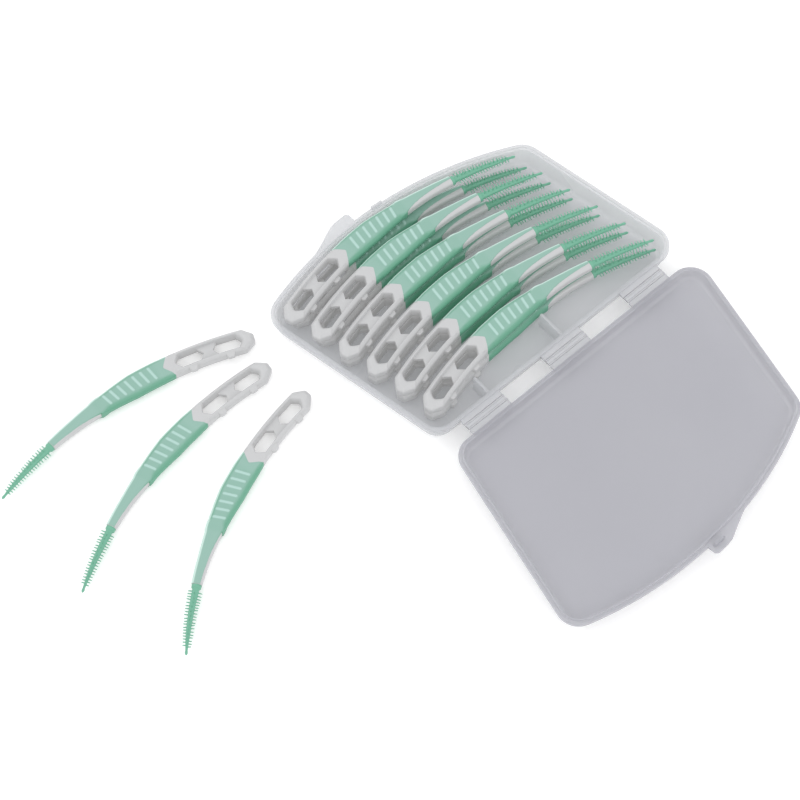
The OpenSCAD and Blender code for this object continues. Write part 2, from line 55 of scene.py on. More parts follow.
# Case outline: room round the picks, how the sides lean, and the bow
END_ROOM, FRONT_ROOM, BACK_ROOM = 8.2, 0.5, 1.35
LEFT_MORE, LEFT_LEAN, RIGHT_LEAN = 6.2, 11.6, 10.1
BOW_LESS, CORNER_R = 7.4, 6.3

# Tray. Its floor and the lid's panel are flat from FLAT_FROM inside the rim
CASE_H, FLOOR_T, WALL_T, FLAT_FROM = 7.6, 1.0, 0.8, 5.2
RIM_OUT, RIM_T = 0.7, 1.5
DRAFT, FOOT_BEVEL, FLOOR_BEVEL = 0.6, 1.7, 0.8
RIB_T, RIB_DROP, RIB_LEFT, RIB_RIGHT, RIB_GAP = 0.9, 0.8, 25.3, 1.0, 0.35

# Lid
LID_H, PANEL_T, LID_DRAFT, PANEL_BEVEL, LID_RIM_T = 3.6, 0.9, 0.3, 0.8, 1.2
LIP_H, LIP_T, LIP_GAP, SHUT_GAP = 0.8, 0.45, 0.1, 0.2

# The rings of both floors, as shares of the outermost
FLOOR_SHARES = (0.03, 0.25, 0.5, 0.75, 0.92)
# How far each corner of the tray's and of the lid's profile is rounded, in the profiles' order
TRAY_SOFT = (0, 0.6, 0.9, 0.25, 0.3, 0.45, 0.3, 0.15, 0.25, 0.9, 0.9, 0)
LID_SOFT = (0, 0.7, 0.7, 0.2, 0.25, 0.4, 0.15, 0.14, 0.14, 0.6, 0.7, 0)

# Latch. TAB_SLOPE has shares of the slope's length, and of the tab's reach there
TAB_W, TAB_OUT, TAB_T, TAB_FLAT, TAB_GAP, TAB_STEP = 15.0, 3.1, 1.1, 4.5, 5.0, 0.03
TAB_SLOPE = ((0.16, 0.93), (0.56, 0.42), (0.85, 0.12), (1, 0))
CATCH_FROM, CATCH_W, CATCH_OUT, HOOK_H, HOOK_T = 1.1, 3.6, 0.5, 2.1, 0.8

# Hinge
HINGE_GAP, STRAP_N, STRAP_W, STRAP_END, STRAP_SHIFT = 5.1, 3, 13.7, 2.5, 1.1
FILM_W, FILM_T, FOLD_R, FOLD_GAP, TONGUE_T = 1.4, 0.4, 0.28, 0.05, 1.0

# Pick, from its handle by the grip and the neck to the brush
BEND_R, THICK = 114.4, 3.8
HANDLE_W, POINT_LEN, END_FLAT, END_CUT, HANDLE_BEVEL = 6.4, 2.4, 2.2, 2.8, 0.9
WINDOW_FROM, WINDOW_LEN, WINDOW_W, WINDOW_GAP, WINDOW_REST = 3.4, 8.2, 3.9, 2.7, 1.3
WINDOW_POINT, WEB_T, WEB_SOFT, RAIL_OVER = 1.5, 1.4, 0.16, 0.12
NUB_OUT, NUB_LEN, NUB_T, NUB_LOW, NUB_SOFT = 0.9, 2.4, 1.8, 0.7, 0.3
HALF_THICK = THICK / 2
# Each row of the handle's profile as its distance from the hole or from the outline, and its height
HOLE_ROWS = ((0, 0), (0, 0.75), (0.04, 1.05), (0.09, 1.4), (0.16, HALF_THICK - 0.2),
             (0.25, HALF_THICK - 0.07), (0.36, HALF_THICK))
EDGE_ROWS = ((0.9, HALF_THICK), (0.8, HALF_THICK - 0.035), (0.68, HALF_THICK - 0.13),
             (0.5, HALF_THICK - 0.3), (0.26, HALF_THICK - 0.54), (0.1, HALF_THICK - 0.73),
             (0.03, HALF_THICK - 0.9), (0, HALF_THICK - 1.1))
GRIP_LEN, GRIP_W, GRIP_END_W, GRIP_BEVEL = 23.2, 7.1, 4.9, 1.2
SWELL_LEN, SWELL_FIRST, TAPER_LEN, TAPER_LESS = 3.2, 0.12, 5, 0.62
HANDLE_SOFT, GRIP_SOFT, NECK_SOFT = 0.22, 0.55, 0.3
BAR_W, BAR_T = 2.6, 1.6
NECK_LEN, NECK_W, NECK_T, NECK_END_T, COLLAR_W, NECK_BEVEL = 15.8, 4.3, 3.1, 2.4, 2.7, 0.5
BRUSH_LEN, COLLAR_LEN, STEM_R, STEM_TIP_R, BULB_R, BULB_LEN = 19.6, 0.9, 0.95, 0.32, 0.42, 1.3
WINDOW_PITCH = WINDOW_LEN + WINDOW_GAP
HANDLE_LEN = WINDOW_FROM + WINDOW_PITCH + WINDOW_LEN + WINDOW_REST
GRIP_TO = HANDLE_LEN + GRIP_LEN
COLLAR_AT = GRIP_TO + NECK_LEN
PICK_LEN = COLLAR_AT + BRUSH_LEN
HALF_TURN = PICK_LEN / 2 / BEND_R
RISE = BEND_R * (1 - math.cos(HALF_TURN))
HALF_CHORD = BEND_R * math.sin(HALF_TURN)

# Surface of a pick. The V joint's white stands PROUD of the rubber, and the rubber stands WRAP_OUT proud
# of the neck. Its edge on the neck is given as shares of the neck's half width at shares of its length,
# above and below, and past the edge it is folded down to FOLD_IN of its height.
PROUD, WRAP_OUT, FOLD_IN = 0.03, 0.08, 0.8
WRAP_AT = (0, 0.12, 0.3, 0.5, 0.8, 1)
WRAP_TOP = (-0.98, -0.78, -0.5, -0.3, 0, 0.2)
WRAP_UNDER = (-0.98, -0.93, -0.85, -0.78, -0.72, -0.7)
RAISED_N, RAISED_FROM, RAISED_STEP, RAISED_HALF, RAISED_HIGH = 7, 29.4, 2.35, 0.5, 0.14
# The last is the width of the band along the grip's outer edge that carries the painted highlight.
RAISED_REACH, RAISED_LESS, RAISED_SLANT, EDGE_HIGHLIGHT_W = 1.75, 0.05, 0.18, 0.75

# Bristles: rows at the sides and along the flats, from shortly past the collar to shortly before the tip
SIDE_N, FLAT_N, FIRST_BRISTLE, LAST_BRISTLE = 19, 13, COLLAR_AT + 1.7, PICK_LEN - 1.9
BRISTLE_LONG, BRISTLE_TIP_LONG, BRISTLE_R, FLAT_ROOM = 1.12, 0.72, 0.18, 0.03
SWING, LEAN, LEAN_SPREAD, SHORTEST, LONGEST = 0.09, 0.04, 0.05, 0.93, 1.04
# Rings of a strand: each one's share of the strand's height, and its radius as a share of BRISTLE_R
STRAND = ((0, 1.15), (0.35, 1.0), (0.7, 0.86), (0.9, 0.74), (0.975, 0.5), (1.0, 0.12))
STRAND_SIDES, ROOT_SHARE = 5, 0.6

# Layout: a pick's way to the next, how the lower layer has slipped under the upper, and the loose picks
LAYER_N, LOOSE_N, LAYER_GAP = 6, 3, 0.2
PICK_GAP, STEP_MORE, STACK_LEFT, LOOSE_ROOM = 1.62, 0.33, 1.13, 4.0
SLIP_X, SLIP_Y, UPPER_TURN = 1.8, 1.6, -1.33
SLIP_X_SHARES = (1, 0.7, 0.15, 0.1, 0.15, 0.1)
SLIP_Y_SHARES = (1, 0.75, 0.35, 0.3, 0.35, 0.35)
LOWER_TURNS = (-2.2, -1.5, -0.7, -0.6, -0.7, -0.7)
LOOSE_UP, LOOSE_STEP, LOOSE_DROP = 60.6, 4.15, 22.05
LOOSE_X_SHARES = (0, -0.4, 1)
LOOSE_TURNS = (174.7, 192.8, 206.6)


# Meshes

def new_object(name, data):
    """An object in the scene with that data."""
    made = bpy.data.objects.new(name, data)
    bpy.context.scene.collection.objects.link(made)
    return made


def new_piece(name, points, faces, material, body=None, nodes=(), smooth_angle=40):
    """A mesh object from points in millimetres, smooth but for edges sharper than smooth_angle. With a
    body given, it rides on that body in place of the nodes."""
    mesh = bpy.data.meshes.new(name)
    mesh.from_pydata((np.asarray(points, float) * MM).tolist(), [], [list(f) for f in faces])
    mesh.validate()
    piece = new_object(name, mesh)
    mesh.materials.append(material)
    mesh.shade_smooth()
    mesh.set_sharp_from_angle(angle=math.radians(smooth_angle))
    if body:
        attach(piece, body)
        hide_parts(*nodes)
    return piece


def grid_faces(rows, columns):
    """Quads over a grid of rows of closed rings, and one face over each end, all facing outwards for
    rings that run anticlockwise about the way from the first row to the last."""
    j, k = np.meshgrid(np.arange(rows - 1), np.arange(columns), indexing="ij")
    here, beside = j * columns + k, j * columns + (k + 1) % columns
    quads = np.stack([here, beside, beside + columns, here + columns], -1)
    low, high = list(range(columns))[::-1], list(range((rows - 1) * columns, rows * columns))
    return quads.reshape(-1, 4).tolist() + [low, high]


def join(parts):
    """Several (points, faces) pairs as one."""
    points, faces, first = [], [], 0
    for p, f in parts:
        p = np.asarray(p, float).reshape(-1, 3)
        points.append(p)
        faces += [[i + first for i in face] for face in f]
        first += len(p)
    return np.concatenate(points), faces


def rounded_path(corners, radii, steps=5):
    """A path through corners, each with its corner cut by a curve that starts its radius before it:
    a quadratic curve from there, by the corner, to the same distance after it."""
    corners = np.asarray(corners, float)
    u = np.linspace(0, 1, steps)[:, None]
    out = [corners[:1]]
    for i in range(1, len(corners) - 1):
        here, back, on = corners[i], corners[i - 1] - corners[i], corners[i + 1] - corners[i]
        r = min(radii[i], 0.48 * np.linalg.norm(back), 0.48 * np.linalg.norm(on))
        if r < 1e-6:
            out.append(here[None])
            continue
        a = here + back / np.linalg.norm(back) * r
        c = here + on / np.linalg.norm(on) * r
        out.append((1 - u) ** 2 * a + 2 * u * (1 - u) * here + u ** 2 * c)
    out.append(corners[-1:])
    return np.concatenate(out)


def rounded_ring(corners, soft):
    """The same round a closed ring, with all its corners alike."""
    return rounded_path(corners + corners[:2], [0] + [soft] * len(corners) + [0])[1:-1]


def circle(t):
    """Points one from the origin, at headings t."""
    return np.stack([np.cos(t), np.sin(t)], -1)


def smoothstep(x):
    """0 below 0, 1 above 1, and three x squared less two x cubed between."""
    x = np.clip(x, 0, 1)
    return x * x * (3 - 2 * x)


# Case

def unit(v):
    """The direction of v, one long."""
    return v / np.linalg.norm(v)


# The case is as long as the picks' chord and as deep as their rows, and its front follows their curve
WALL_IN = RIM_OUT + WALL_T
SEAT_H = LIP_H - SHUT_GAP + LIP_GAP
PICK_PITCH = HANDLE_W + NUB_OUT + PICK_GAP
FIRST_BACK = WALL_IN + FRONT_ROOM + GRIP_W / 2 + RISE
CROWN_D = FIRST_BACK + (LAYER_N - 1) * PICK_PITCH + HANDLE_W / 2 + NUB_OUT + BACK_ROOM + WALL_IN
BACK_W = 2 * HALF_CHORD + END_ROOM
MID_X, BACK_Y, CROWN_Y = LEFT_LEAN / 2, -CROWN_D / 2, CROWN_D / 2
FRONT_R = BEND_R + GRIP_W / 2 + FRONT_ROOM + WALL_IN - BOW_LESS
CHORD = np.array([BACK_W + LEFT_LEAN - RIGHT_LEAN, -LEFT_MORE])
FRONT_UP = unit(np.array([-CHORD[1], CHORD[0]]))
FRONT_DROP = math.sqrt(FRONT_R ** 2 - CHORD @ CHORD / 4)
SIDES_D = CROWN_D - (FRONT_R - FRONT_DROP * FRONT_UP[1])
LEFT_D, RIGHT_D = SIDES_D + LEFT_MORE / 2, SIDES_D - LEFT_MORE / 2
BACK_LEFT = np.array([MID_X - BACK_W / 2, BACK_Y])
BACK_RIGHT = np.array([MID_X + BACK_W / 2, BACK_Y])
FRONT_RIGHT = BACK_RIGHT + [-RIGHT_LEAN, RIGHT_D]
FRONT_LEFT = BACK_LEFT + [-LEFT_LEAN, LEFT_D]
FRONT_C = (FRONT_RIGHT + FRONT_LEFT) / 2 - FRONT_UP * FRONT_DROP
SIDE_LEAN = (LEFT_LEAN / LEFT_D + RIGHT_LEAN / RIGHT_D) / 2
PICK_STEP = PICK_PITCH * SIDE_LEAN + STEP_MORE
FIRST_LEFT = (CROWN_D - FIRST_BACK) * SIDE_LEAN + STACK_LEFT
LOOSE_FAR = BACK_W / 2 + LEFT_LEAN + HALF_CHORD + LOOSE_ROOM
HINGE_Y = BACK_Y - HINGE_GAP / 2
TURN_Z = CASE_H + SHUT_GAP / 2
FOLD_Z = TURN_Z - FILM_W / 2
STRAP_PITCH = (BACK_W - 2 * CORNER_R - 2 * STRAP_END - STRAP_W) / (STRAP_N - 1)
STRAP_XS = MID_X - STRAP_SHIFT + (np.arange(STRAP_N) - (STRAP_N - 1) / 2) * STRAP_PITCH


def corner_centres():
    """Centres of the four round corners: CORNER_R inside the two edges that meet there."""
    right = unit(FRONT_RIGHT - BACK_RIGHT)
    left = unit(FRONT_LEFT - BACK_LEFT)
    in_right, in_left = np.array([-right[1], right[0]]), np.array([left[1], -left[0]])

    def beside(start, way, inward):
        """On the line beside a side, at CORNER_R above the back edge and at CORNER_R below the bow."""
        p = start + inward * CORNER_R
        low = p + way * (BACK_Y + CORNER_R - p[1]) / way[1]
        b, k = (p - FRONT_C) @ way, (p - FRONT_C) @ (p - FRONT_C) - (FRONT_R - CORNER_R) ** 2
        return low, p + way * (-b + math.sqrt(b * b - k))

    low_left, high_left = beside(BACK_LEFT, left, in_left)
    low_right, high_right = beside(BACK_RIGHT, right, in_right)
    return low_left, low_right, high_right, high_left, -in_left, -in_right


def outline_frame(tab_from, side_steps=40, corner_steps=14, front_step=0.35):
    """The outline as centres, radii and outward directions: a point set in by d lies at centre plus
    (radius less d) times direction. It runs anticlockwise from the left back corner. Also gives each
    point's distance along the bow from its crown, and nan off the bow."""
    low_left, low_right, high_right, high_left, out_left, out_right = corner_centres()
    parts = []

    def arc(c, radius, t, along):
        """Points of a circle about c at headings t."""
        parts.append((np.tile(c, (len(t), 1)), np.full(len(t), radius), circle(t), along))

    def corner(c, a, b):
        """A round corner about c between two headings."""
        arc(c, CORNER_R, np.linspace(a, b, corner_steps), np.full(corner_steps, np.nan))

    def side(a, b, out):
        """A straight side between two corners' centres."""
        t = np.linspace(0, 1, side_steps + 2)[1:-1, None]
        parts.append((a + (b - a) * t, np.full(side_steps, CORNER_R), np.tile(out, (side_steps, 1)),
                      np.full(side_steps, np.nan)))

    heading = lambda v: math.atan2(v[1], v[0])
    start, stop = heading(high_right - FRONT_C), heading(high_left - FRONT_C)
    corner(low_left, heading(out_left) + 2 * math.pi, 1.5 * math.pi)
    side(low_left, low_right, np.array([0.0, -1.0]))
    corner(low_right, -0.5 * math.pi, heading(out_right))
    side(low_right, high_right, out_right)
    corner(high_right, heading(out_right), start)
    a = np.arange((math.pi / 2 - start) * FRONT_R, (math.pi / 2 - stop) * FRONT_R, -front_step)[1:]
    a = np.sort(np.concatenate([a, [tab_from - TAB_STEP, tab_from + TAB_STEP]]))[::-1]
    arc(FRONT_C, FRONT_R, math.pi / 2 - a / FRONT_R, a)
    corner(high_left, stop, heading(out_left) + 2 * math.pi)
    side(high_left, low_left, out_left)
    return [np.concatenate(column) for column in zip(*parts)]


def tab_reach(a, start, way):
    """How far a thumb tab stands out of the rim at distance a along the bow: a steep end, a flat
    and a long slope back to the rim."""
    slope = TAB_W - TAB_FLAT
    at = [0, 0.02, TAB_OUT * 0.25, TAB_FLAT] + [TAB_FLAT + slope * share for share, _ in TAB_SLOPE]
    out = [0, TAB_OUT * 0.75, TAB_OUT, TAB_OUT] + [TAB_OUT * reach for _, reach in TAB_SLOPE]
    along = np.where(np.isnan(a), -1, (np.nan_to_num(a) - start) * way)
    return np.where(along < 0, 0, np.interp(along, at, out))


def shell(profile, rim_low, tab_start, tab_way, inner_floor, outer_floor):
    """A closed shell: the profile, of insets and heights, carried round the outline. Where the profile
    runs along the rim's edge, the thumb tab pushes it outwards. The two floors shrink towards the
    middle in a few rings."""
    centre, radius, out, a = outline_frame(tab_start)
    tab = tab_reach(a, tab_start, tab_way)
    inset, z = profile[:, 0][:, None], profile[:, 1][:, None]
    edge = smoothstep((0.62 - inset) / 0.5) * (z > rim_low - 0.01)
    plan = centre[None] + (radius[None] - inset + tab[None] * edge)[..., None] * out[None]
    under = smoothstep((CASE_H - 0.5 * TAB_T - z) / 0.3)
    lift = (RIM_T - TAB_T) * smoothstep(tab[None] / 0.6) * edge * under
    rings = np.concatenate([plan, np.broadcast_to(z + lift, plan.shape[:2])[..., None]], -1)
    middle = np.array([0.0, (BACK_Y + CROWN_Y) / 2, 0])

    def shrink(ring, height):
        """The ring at each of the floor's shares of its size, level at the height."""
        flat = middle + (ring * [1, 1, 0] - middle) * np.array(FLOOR_SHARES)[:, None, None]
        flat[..., 2] = height
        return flat

    rings = np.concatenate([shrink(rings[0], outer_floor), rings, shrink(rings[-1], inner_floor)[::-1]])
    return rings.reshape(-1, 3), grid_faces(*rings.shape[:2])


def tray_profile():
    """From the underside out over the foot's bevel, up the drafted wall, over the rim, down into the
    lip's seat and down the inner wall to the floor."""
    corners = [
        (FLAT_FROM, 0), (RIM_OUT + DRAFT + FOOT_BEVEL, 0), (RIM_OUT + DRAFT, FOOT_BEVEL),
        (RIM_OUT, CASE_H - RIM_T), (0, CASE_H - RIM_T), (0, CASE_H), (WALL_IN - LIP_T - LIP_GAP, CASE_H),
        (WALL_IN - LIP_T - LIP_GAP, CASE_H - SEAT_H), (WALL_IN, CASE_H - SEAT_H),
        (WALL_IN + DRAFT, FLOOR_T + FLOOR_BEVEL), (WALL_IN + DRAFT + FLOOR_BEVEL, FLOOR_T),
        (FLAT_FROM, FLOOR_T)
    ]
    return rounded_path(corners, TRAY_SOFT)


def lid_profile():
    """From the panel's outside out over its bevel, up the wall, over the rim, up and over the lip and
    down the inner wall to the panel."""
    low = CASE_H - LID_H
    corners = [
        (FLAT_FROM, low), (RIM_OUT + LID_DRAFT + PANEL_BEVEL, low),
        (RIM_OUT + LID_DRAFT, low + PANEL_BEVEL), (RIM_OUT, CASE_H - LID_RIM_T),
        (0, CASE_H - LID_RIM_T), (0, CASE_H), (WALL_IN - LIP_T, CASE_H),
        (WALL_IN - LIP_T, CASE_H + LIP_H), (WALL_IN, CASE_H + LIP_H),
        (WALL_IN + LID_DRAFT, low + PANEL_T + PANEL_BEVEL),
        (WALL_IN + LID_DRAFT + PANEL_BEVEL, low + PANEL_T), (FLAT_FROM, low + PANEL_T)
    ]
    return rounded_path(corners, LID_SOFT)


def slab(low, high, soft=0.15):
    """A box between two corners, with its edges softened: four rings of a rounded rectangle, of which
    the lowest and the highest are drawn in."""
    low, high = np.asarray(low, float), np.asarray(high, float)
    mid, half = (low + high) / 2, (high - low) / 2
    quarter = circle(np.linspace(0, math.pi / 2, 4))
    signs = np.array([(1, 1), (-1, 1), (-1, -1), (1, -1)])
    rows = []
    for z, draw in ((-1, soft), (-1, 0), (1, 0), (1, soft)):
        ring = []
        for i, s in enumerate(signs):
            q = quarter if i % 2 == 0 else quarter[::-1]
            ring.append((half[:2] - soft) * s + q * s * (soft - 0.6 * draw))
        ring = np.concatenate(ring) + mid[:2]
        height = mid[2] + z * (half[2] - (soft - draw))
        rows.append(np.concatenate([ring, np.full((len(ring), 1), height)], -1))
    return np.concatenate(rows), grid_faces(len(rows), len(rows[0]))


def front_point(a, v):
    """Point at distance a along the bow from its crown, v outside the rim."""
    t = a / FRONT_R
    return FRONT_C + (FRONT_R + v) * np.array([math.sin(t), math.cos(t)])


def front_block(a0, a1, v0, v1, z0, z1, soft=0.12):
    """A small block on the bow, between two distances along it, two reaches outside it and two heights.
    Its upright edges and its top are softened."""
    corners = [front_point(a, v) for a, v in ((a0, v0), (a0, v1), (a1, v1), (a1, v0))][::-1]
    plan = rounded_ring(corners, soft)
    mid = plan.mean(0)
    rows = []
    for z, k in ((z0, 1), (z1 - soft, 1), (z1 - 0.3 * soft, 0.97), (z1, 0.88)):
        ring = mid + (plan - mid) * k
        rows.append(np.concatenate([ring, np.full((len(ring), 1), z)], -1))
    return np.concatenate(rows), grid_faces(len(rows), len(rows[0]))


def tongues():
    """The tongues that carry the hinge straps: slabs from inside the wall to the fold line."""
    start = HINGE_Y + FILM_W / 2 + FOLD_R + FOLD_GAP
    stop, top, half = BACK_Y + RIM_OUT + 0.2, FOLD_Z + FOLD_R, STRAP_W / 2
    return [slab([x - half, start, top - TONGUE_T], [x + half, stop, top]) for x in STRAP_XS]


def inner_edge_y(place, x, half):
    """Y of a cased pick's inner edge over x, where the pick is twice half wide."""
    px, py, _, degrees, _ = place
    turn = math.radians(degrees)
    cx = px - math.sin(turn) * (RISE - BEND_R)
    cy = py + math.cos(turn) * (RISE - BEND_R)
    return cy + math.sqrt((BEND_R - half) ** 2 - (x - cx) ** 2)


def ribs():
    """Two upright ribs from the hinge side's wall to just short of the last picks."""
    made = []
    for x, half in ((MID_X - RIB_LEFT, HANDLE_W / 2 + NUB_OUT), (MID_X + RIB_RIGHT, GRIP_W / 2)):
        to = min(inner_edge_y(cased_place(layer, LAYER_N - 1), x, half) for layer in (0, 1)) - RIB_GAP
        made.append(slab([x - RIB_T / 2, BACK_Y + WALL_IN - 0.2, FLOOR_T - 0.3],
                         [x + RIB_T / 2, to, CASE_H - RIB_DROP], 0.18))
    return made


def across_hinge(points, faces):
    """The same shape on the lid's side of the hinge: mirrored in it, with its faces turned back."""
    points = np.asarray(points, float).copy()
    points[:, 1] = 2 * HINGE_Y - points[:, 1]
    return points, [face[::-1] for face in faces]


def tint_last(piece, material, parts):
    """Gives the piece's last parts, which are whole shapes at the end of its faces, a second material."""
    piece.data.materials.append(material)
    count = sum(len(faces) for _, faces in parts)
    index = np.zeros(len(piece.data.polygons), np.int32)
    index[-count:] = 1
    piece.data.polygons.foreach_set("material_index", index)


def make_tray(material, film):
    """Tray with its catch, ribs and tongues. The tongues have the film's look."""
    body = shell(tray_profile(), CASE_H - RIM_T, 0, -1, FLOOR_T, 0)
    start = TAB_GAP + CATCH_FROM
    catch = front_block(start, start + CATCH_W, -0.3, CATCH_OUT, CASE_H - RIM_T + 0.2, CASE_H - 0.15, 0.2)
    points, faces = join([body, catch] + ribs() + tongues())
    piece = new_piece("tray_shell", points, faces, material, "tray", ["case_tray"])
    tint_last(piece, film, tongues())


def make_lid(material, film):
    """Lid with its hook and tongues, shaped as it stands when shut and mirrored to where it lies open."""
    low = CASE_H - LID_H
    body = shell(lid_profile(), CASE_H - LID_RIM_T, TAB_GAP, 1, low + PANEL_T, low)
    start, inside = TAB_GAP + CATCH_FROM, CATCH_OUT + LIP_GAP
    hook = front_block(start, start + CATCH_W, inside, inside + HOOK_T, CASE_H - 0.4, CASE_H + HOOK_H, 0.16)
    points, faces = across_hinge(*join([body, hook] + tongues()))
    piece = new_piece("lid_shell", points, faces, material, "lid", ["case_lid"])
    tint_last(piece, film, tongues())


def make_film(material):
    """The three straps: each a profile in y and z, a thin plate with a bead along both fold lines,
    carried along the hinge. The film is one fixed piece that rides on no body."""
    half, thin = FILM_W / 2, FILM_T / 2
    a0 = math.asin(thin / FOLD_R)
    bead = np.linspace(a0, 2 * math.pi - a0, 13)
    right = np.stack([half - FOLD_R * np.cos(bead), -FOLD_R * np.sin(bead)], -1)[::-1]
    flat = np.linspace(-half + FOLD_R * math.cos(a0), half - FOLD_R * math.cos(a0), 13)[1:-1]
    over = np.stack([flat[::-1], np.full(len(flat), thin)], -1)
    plan = np.concatenate([right, over, -right, -over])
    parts = []
    for x in STRAP_XS:
        at = x + (np.linspace(0, 1, 15) - 0.5) * STRAP_W
        rows = np.empty((len(at), len(plan), 3))
        rows[..., 0] = at[:, None]
        rows[..., 1:] = plan + [HINGE_Y, FOLD_Z]
        parts.append(outwards(rows.reshape(-1, 3), grid_faces(*rows.shape[:2])))
    points, faces = join(parts)
    piece = new_piece("hinge_film", points, faces, material)
    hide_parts("hinge_straps")
    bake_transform(piece)


# Picks

def curve_points(s, n, z):
    """Points in a pick's own frame: s along the curve from the handle's end, n outside it, z from the
    pick's middle height. The curve is an arc about a centre on -Y, and the pick stands on z = 0."""
    t = (2 * s / PICK_LEN - 1) * HALF_TURN
    s, n, z, t = np.broadcast_arrays(s, n, z, t)
    far = BEND_R + n
    return np.stack([far * np.sin(t), RISE - BEND_R + far * np.cos(t), HALF_THICK + z], -1)


def sections(w, t, bevel, soft, steps=4):
    """Cross-sections, one a row, as n and z: rectangles of half width w and half thickness t with their
    corners bevelled, and the eight corners that this leaves softened by a quadratic curve."""
    w, t = np.asarray(w, float)[:, None], np.asarray(t, float)[:, None]
    b = np.minimum(np.minimum(np.asarray(bevel, float) * np.ones_like(w), 0.8 * w), 0.8 * t)
    soft = np.asarray(soft, float) * np.ones_like(w)[..., None]
    corners = [(w, t - b), (w - b, t), (b - w, t), (-w, t - b),
               (-w, b - t), (b - w, -t), (w - b, -t), (w, b - t)]
    v = np.stack([np.concatenate(c, 1) for c in corners], 1)
    back, on = np.roll(v, 1, 1) - v, np.roll(v, -1, 1) - v
    reach = lambda d: d / np.linalg.norm(d, axis=-1, keepdims=True) * np.minimum(
        soft, 0.45 * np.linalg.norm(d, axis=-1, keepdims=True))
    a, c = v + reach(back), v + reach(on)
    u = np.linspace(0, 1, steps)[None, None, :, None]
    arcs = (1 - u) ** 2 * a[:, :, None] + 2 * u * (1 - u) * v[:, :, None] + u ** 2 * c[:, :, None]
    return arcs.reshape(len(w), -1, 2)


def loft(s, section):
    """A closed skin over sections along the curve at distances s."""
    points = curve_points(np.asarray(s)[:, None], section[..., 0], section[..., 1])
    # The sections run anticlockwise in n and z, which is clockwise about the way along the curve
    return points[:, ::-1].reshape(-1, 3), grid_faces(*section.shape[:2])


def handle_frame():
    """The handle's frame: a profile carried round the long hexagon that holds both windows. Each station
    joins a point of the hexagon to one of the handle's outline, and the profile climbs the inner wall,
    crosses the rail's crown and falls over the outer bevel, above and below. Past the grip's start the
    outline is the V joint, whose edge stands upright where the bevel's plane lets it."""
    tip = WINDOW_FROM + WINDOW_PITCH + WINDOW_LEN
    side = [(WINDOW_FROM, 0), (WINDOW_FROM + 0.3 * WINDOW_POINT, 0.15 * WINDOW_W),
            (WINDOW_FROM + WINDOW_POINT, WINDOW_W / 2), (tip - WINDOW_POINT, WINDOW_W / 2), (tip, 0)]
    rim = [(0, 0), (0, END_FLAT / 2), (END_CUT, HANDLE_W / 2), (HANDLE_LEN, HANDLE_W / 2),
           (HANDLE_LEN + POINT_LEN, 0)]

    def around(points, shares, softness):
        """One side's corners with points set between them, then the other side's, run backwards."""
        points = np.array(points, float)
        edges = zip(points[:-1], points[1:], shares)
        one = np.concatenate([a + (b - a) * np.asarray(u)[:, None] for a, b, u in edges] + [points[-1:]])
        ring = np.concatenate([one, one[-2:0:-1] * [1, -1]])
        for _ in range(softness):
            ring = 0.5 * ring + 0.25 * (np.roll(ring, 1, 0) + np.roll(ring, -1, 0))
        return ring

    short = np.array([0, 0.08, 0.16, 0.5, 0.84, 0.92])
    rail = np.concatenate([[0, 0.008, 0.016], np.linspace(0.05, 0.95, 30), [0.984, 0.992]])
    shares = [[0, 0.5, 0.85], short, rail, short]
    hole, edge = around(side, shares, 2), around(rim, shares, 2)
    way = edge - hole
    way = way / np.linalg.norm(way, axis=1, keepdims=True)

    def square(ring):
        """How squarely each station's way crosses the ring."""
        d = np.roll(ring, -1, 0) - np.roll(ring, 1, 0)
        across = np.abs(way[:, 0] * d[:, 1] - way[:, 1] * d[:, 0])
        return np.clip(across / np.linalg.norm(d, axis=1), 0.5, 1)

    def lift(plan, z):
        """The crown's height, raised by PROUD where the handle runs into the grip."""
        proud = HALF_THICK + PROUD * smoothstep((plan[:, 0] - HANDLE_LEN + 1.2) / 0.8)
        return np.where(z > HALF_THICK - 0.02, np.maximum(z, proud), z)

    # The handle's end slopes more gently than its rails
    at_end = smoothstep((WINDOW_FROM + 0.4 - edge[:, 0]) / 2.6)[:, None]
    climb, fall = 1 + 2.4 * at_end, 1 + 0.35 * at_end
    joint = smoothstep((edge[:, 0] - HANDLE_LEN) / 0.25)
    chamfer = HALF_THICK + HANDLE_W / 2 - HANDLE_BEVEL
    from_hole = lambda d: hole + way * (d / square(hole))[:, None] * climb
    from_edge = lambda d: edge - way * (d / square(edge))[:, None] * fall
    rows = [(from_hole(d), np.full(len(hole), z)) for d, z in HOLE_ROWS]
    a, b = rows[-1][0], from_edge(EDGE_ROWS[0][0])
    rows += [(a + (b - a) * share, np.full(len(hole), HALF_THICK)) for share in (0.25, 0.5, 0.75)]
    for d, z in EDGE_ROWS:
        plan = from_edge(d)
        upright = HALF_THICK + PROUD if d > 0 else EDGE_ROWS[-1][1]
        cap = np.minimum(upright, chamfer - np.abs(plan[:, 1]) + PROUD)
        rows.append((plan, z * (1 - joint) + cap * joint))
    upper = [curve_points(plan[:, 0], plan[:, 1], lift(plan, z)) for plan, z in rows]
    lower = [curve_points(plan[:, 0], plan[:, 1], -lift(plan, z)) for plan, z in rows[:0:-1]]
    rings = np.stack(upper + lower, 1)
    stations, m = rings.shape[:2]
    j, k = np.meshgrid(np.arange(stations), np.arange(m), indexing="ij")
    quad = lambda dj, dk: (j + dj) % stations * m + (k + dk) % m
    faces = np.stack([quad(0, 0), quad(0, 1), quad(1, 1), quad(1, 0)], -1).reshape(-1, 4).tolist()
    return outwards(rings.reshape(-1, 3), faces)


